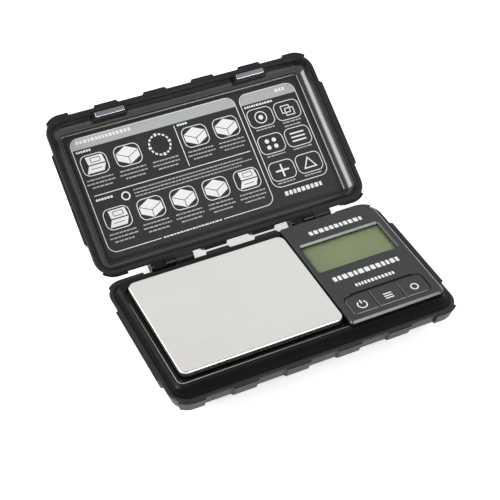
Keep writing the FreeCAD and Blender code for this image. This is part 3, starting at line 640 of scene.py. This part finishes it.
def plain_shape(symbols, x, y, which):
    """One of six plain geometric figures about 6 mm across."""
    thin, thick = 0.45, 0.8
    if which == 0:
        symbols.ring(x, y, 2.9, thin)
        symbols.disc(x, y, 1.1)
    elif which == 1:
        symbols.border(x - 0.7, y + 0.6, 4.4, 3.8, 0.4, thin)
        symbols.border(x + 0.9, y - 0.8, 4.4, 3.8, 0.4, thin)
    elif which == 2:
        for side_x, side_y in ((-1, -1), (-1, 1), (1, -1), (1, 1)):
            symbols.disc(x + 1.7 * side_x, y + 1.5 * side_y, 1.0)
    elif which == 3:
        for row in (-1, 0, 1):
            symbols.bar(x - 3.4, y + 1.8 * row, x + 3.4, y + 1.8 * row, 0.7)
    elif which == 4:
        symbols.bar(x - 3.2, y, x + 3.2, y, thick)
        symbols.bar(x, y + thick / 2, x, y + 3.0, thick)
        symbols.bar(x, y - thick / 2, x, y - 3.0, thick)
    else:
        symbols.strip([(x - 3.3, y - 2.5), (x + 3.3, y - 2.5), (x, y + 3.0)],
                      [(x - 2.3, y - 1.9), (x + 2.3, y - 1.9), (x, y + 1.9)], True)


def notes(frames, bands, words, captions, symbols):
    """Right part of the label: six framed figures under a band."""
    centre_x = (NOTES_LEFT + NOTES_RIGHT) / 2
    centre_y = (NOTES_TOP + NOTES_BOTTOM) / 2
    frames.border(centre_x, centre_y, NOTES_RIGHT - NOTES_LEFT, NOTES_TOP - NOTES_BOTTOM,
                  FRAME_RADIUS, FINE)
    header_band(bands, NOTES_LEFT + FINE, NOTES_RIGHT - FINE, NOTES_TOP - FINE)
    words.dashes(43.4, 49.8, 24.0, TITLE_HEIGHT, **TITLE)
    words.dashes(26.9, 41.4, 19.9, HEADING_HEIGHT, short=0.7, long=1.5, gap=0.35)
    for row in range(3):
        for column, x in enumerate(NOTE_COLUMNS):
            y = NOTE_TOP_ROW - NOTE_STEP * row
            frames.border(x, y, NOTE_WIDTH, NOTE_HEIGHT, NOTE_RADIUS, FINE)
            plain_shape(symbols, x, y, 2 * row + column)
            captions.dashes(x - 4.4, x + 4.6, y - 5.5, height=0.6)
    captions.dashes(41.4, 49.6, 6.7, height=0.6)
    words.dashes(29.4, 49.6, -22.6, height=2.0, short=0.6, long=1.1, gap=0.28)


def lid_artwork():
    """Everything printed on the label, one piece per kind of mark."""
    random.seed(7)
    frames, bands, words, captions = Print(), Print(), Print(), Print()
    pictures, lines, symbols = Print(), Print(), Print()
    guide(frames, bands, words, captions, pictures, lines)
    notes(frames, bands, words, captions, symbols)
    frames.make("label_frames", LABEL_FACE, INK, "lid")
    bands.make("label_header_bands", LABEL_FACE, INK_GREY, "lid", thickness=0.02)
    pictures.make("label_pictures", LABEL_FACE, INK, "lid", thickness=0.025)
    lines.make("label_picture_lines", LABEL_FACE, INK_DARK, "lid", thickness=0.02, lift=0.02)
    symbols.make("label_symbols", LABEL_FACE, INK, "lid", thickness=0.02)
    words.make("label_headings", LABEL_FACE, INK, "lid")
    captions.make("label_captions", LABEL_FACE, INK_SOFT, "lid", thickness=0.022)


lid_artwork()


# ---- marks on the panel and keys ----------------------------------------------
def panel_artwork():
    """Rows of plain blocks where the real panel has its names and rating."""
    random.seed(11)
    rows = Print()
    rows.dashes(25.2, 51.6, 24.2, height=2.3, short=0.5, long=0.95, gap=0.28)
    rows.dashes(20.8, 54.2, -4.6, height=2.6, short=0.5, long=0.85, gap=0.26)
    rows.dashes(27.4, 46.8, -11.0, height=1.7, short=0.45, long=0.8, gap=0.3)
    rows.make("panel_marks", PANEL_FACE, LEGEND, "base")


RIDGE_DROP = 2.1 * MM        # the ridge's crest below the panel's top
CREST_LEFT, CREST_FRONT = 2.35, 2.85         # outside the tray's edges
CREST_BACK, CREST_RIGHT = 20.0, 15.0         # its two ends, from the case's middle
CREST_CORNER, CREST_WIDTH = 2.6, 0.38
CREST_LEFT_TIP, CREST_RIGHT_TIP = 0.1, 0.14  # its width at the two ends


def ridge_highlight_paint():
    """Painted highlight: a light grey line on the ridge's outer edge, widest at the corner and
    fine at both ends.
    """
    tray_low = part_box("weighing_tray")[0]
    left = (tray_low.x - case_centre.x) / MM - CREST_LEFT
    front = (tray_low.y - case_centre.y) / MM - CREST_FRONT
    outer, inner = [(left, CREST_BACK)], [(left + CREST_LEFT_TIP, CREST_BACK)]
    for step in range(90 // ARC_STEP + 1):
        angle = math.radians(180 + step * ARC_STEP)
        for radius, points in ((CREST_CORNER, outer), (CREST_CORNER - CREST_WIDTH, inner)):
            points.append((left + CREST_CORNER + radius * math.cos(angle),
                           front + CREST_CORNER + radius * math.sin(angle)))
    outer.append((CREST_RIGHT, front))
    inner.append((CREST_RIGHT, front + CREST_RIGHT_TIP))
    crest = Print()
    crest.strip(outer, inner, False)
    space = drawing_space(Vector((case_centre.x, case_centre.y, panel_top - RIDGE_DROP)),
                          RIGHT, BACKWARDS)
    crest.make("painted_highlight_on_ridge", space, PAINTED_CREST_HIGHLIGHT, "base", thickness=0.04)


LEGEND_DROP = 0.9 * MM       # a legend sits this far before the middle of its key
LEGEND_LINE = 0.55


def key_legend(node, name, draw):
    """A white legend printed on top of one key."""
    low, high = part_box(node)
    top = Vector(((low.x + high.x) / 2, (low.y + high.y) / 2 - LEGEND_DROP, high.z))
    marks = Print()
    draw(marks)
    marks.make(name, drawing_space(top, RIGHT, BACKWARDS), LEGEND, node)


def power_mark(marks):
    """An open ring with a bar in its gap."""
    marks.arc(0, 0, 1.95, 125, 415, LEGEND_LINE)
    marks.bar(0, 0.5, 0, 2.5, LEGEND_LINE)


def mode_mark(marks):
    """Three bars."""
    for row in (-1, 0, 1):
        marks.bar(-1.9, 1.25 * row, 1.9, 1.25 * row, LEGEND_LINE)


def tare_mark(marks):
    """A ring."""
    marks.ring(0, 0, 1.8, LEGEND_LINE)


panel_artwork()
ridge_highlight_paint()
key_legend("power_key", "power_legend", power_mark)
key_legend("mode_key", "mode_legend", mode_mark)
key_legend("tare_key", "tare_legend", tare_mark)


# ---- studio -------------------------------------------------------------------
ROOF_EDGE, ROOF_FULL = 0.75, 0.92    # height in the sky at which the roof starts and is whole
ROOF_GREY = (0.22, 0.22, 0.23, 1)
FLOOR_SIZE, FLOOR_GLOW = 8, 0.5


def sky(world):
    """White round the horizon, dimmer overhead, like a tent with a dark roof panel."""
    world.use_nodes = True
    tree = world.node_tree
    background = tree.nodes["Background"]
    place = tree.nodes.new("ShaderNodeTexCoord")
    height = tree.nodes.new("ShaderNodeSeparateXYZ")
    ramp = tree.nodes.new("ShaderNodeValToRGB")
    tree.links.new(place.outputs["Generated"], height.inputs["Vector"])
    tree.links.new(height.outputs["Z"], ramp.inputs["Fac"])
    tree.links.new(ramp.outputs["Color"], background.inputs["Color"])
    ramp.color_ramp.elements[0].position = ROOF_EDGE
    ramp.color_ramp.elements[0].color = (1, 1, 1, 1)
    ramp.color_ramp.elements[1].position = ROOF_FULL
    ramp.color_ramp.elements[1].color = ROOF_GREY
    background.inputs["Strength"].default_value = 1.0


def softbox(name, place, width, height, power):
    """Rectangular lamp that faces the object, in metres and watts."""
    data = bpy.data.lights.new(name, "AREA")
    data.shape = "RECTANGLE"
    data.size = width
    data.size_y = height
    data.energy = power
    lamp = bpy.data.objects.new(name, data)
    bpy.context.scene.collection.objects.link(lamp)
    lamp.location = place
    lamp.rotation_euler = (-Vector(place)).to_track_quat("-Z", "Y").to_euler()


def studio():
    """White world, a pale floor that glows a little, and three soft lamps."""
    scene = bpy.context.scene
    scene.view_settings.view_transform = "Standard"
    scene.world = bpy.data.worlds.new("studio_world")
    sky(scene.world)
    bpy.ops.mesh.primitive_plane_add(size=FLOOR_SIZE)
    floor = bpy.context.object
    floor.name = "studio_floor"
    finish = Finish("lit_table", (0.9, 0.9, 0.9), roughness=0.7, specular=0.2)
    finish.tint(finish.noise(120 * MM), low=0.99, high=1.0)
    finish.shader.inputs["Emission Color"].default_value = (1, 1, 1, 1)
    finish.shader.inputs["Emission Strength"].default_value = FLOOR_GLOW
    floor.data.materials.append(finish.material)
    softbox("side_left", (-1.0, 0.03, 0.56), width=0.45, height=0.75, power=11.0)
    softbox("front_right", (0.45, -0.85, 0.85), width=0.35, height=0.35, power=4.0)
    softbox("back_left", (-0.8, 0.8, 0.42), width=0.25, height=0.2, power=0.8)


CAMERA_AZIMUTH, CAMERA_ELEVATION, CAMERA_ROLL = -27.137, 41.997, 1.251     # degrees
CAMERA_DISTANCE = 0.55723
CAMERA_LENS, SENSOR_WIDTH = 97.46, 36                                      # millimetres
AIM_X, AIM_Y = -0.001514, -0.006552          # the point it looks at, on the panel's level


def photographer():
    """Camera at the photograph's viewing angle, a long lens about half a metre away."""
    azimuth, elevation = math.radians(CAMERA_AZIMUTH), math.radians(CAMERA_ELEVATION)
    back = Vector((math.sin(azimuth) * math.cos(elevation),
                   -math.cos(azimuth) * math.cos(elevation),
                   math.sin(elevation)))
    camera = bpy.data.objects.new("camera", bpy.data.cameras.new("camera"))
    bpy.context.scene.collection.objects.link(camera)
    camera.data.sensor_width = SENSOR_WIDTH
    camera.data.lens = CAMERA_LENS
    camera.data.clip_start = 0.01
    aim = (-back).to_track_quat("-Z", "Y")
    roll = Matrix.Rotation(math.radians(CAMERA_ROLL), 3, "Z").to_quaternion()
    camera.rotation_mode = "QUATERNION"
    camera.rotation_quaternion = aim @ roll
    camera.location = Vector((AIM_X, AIM_Y, panel_top)) + back * CAMERA_DISTANCE
    bpy.context.scene.camera = camera


studio()
photographer()
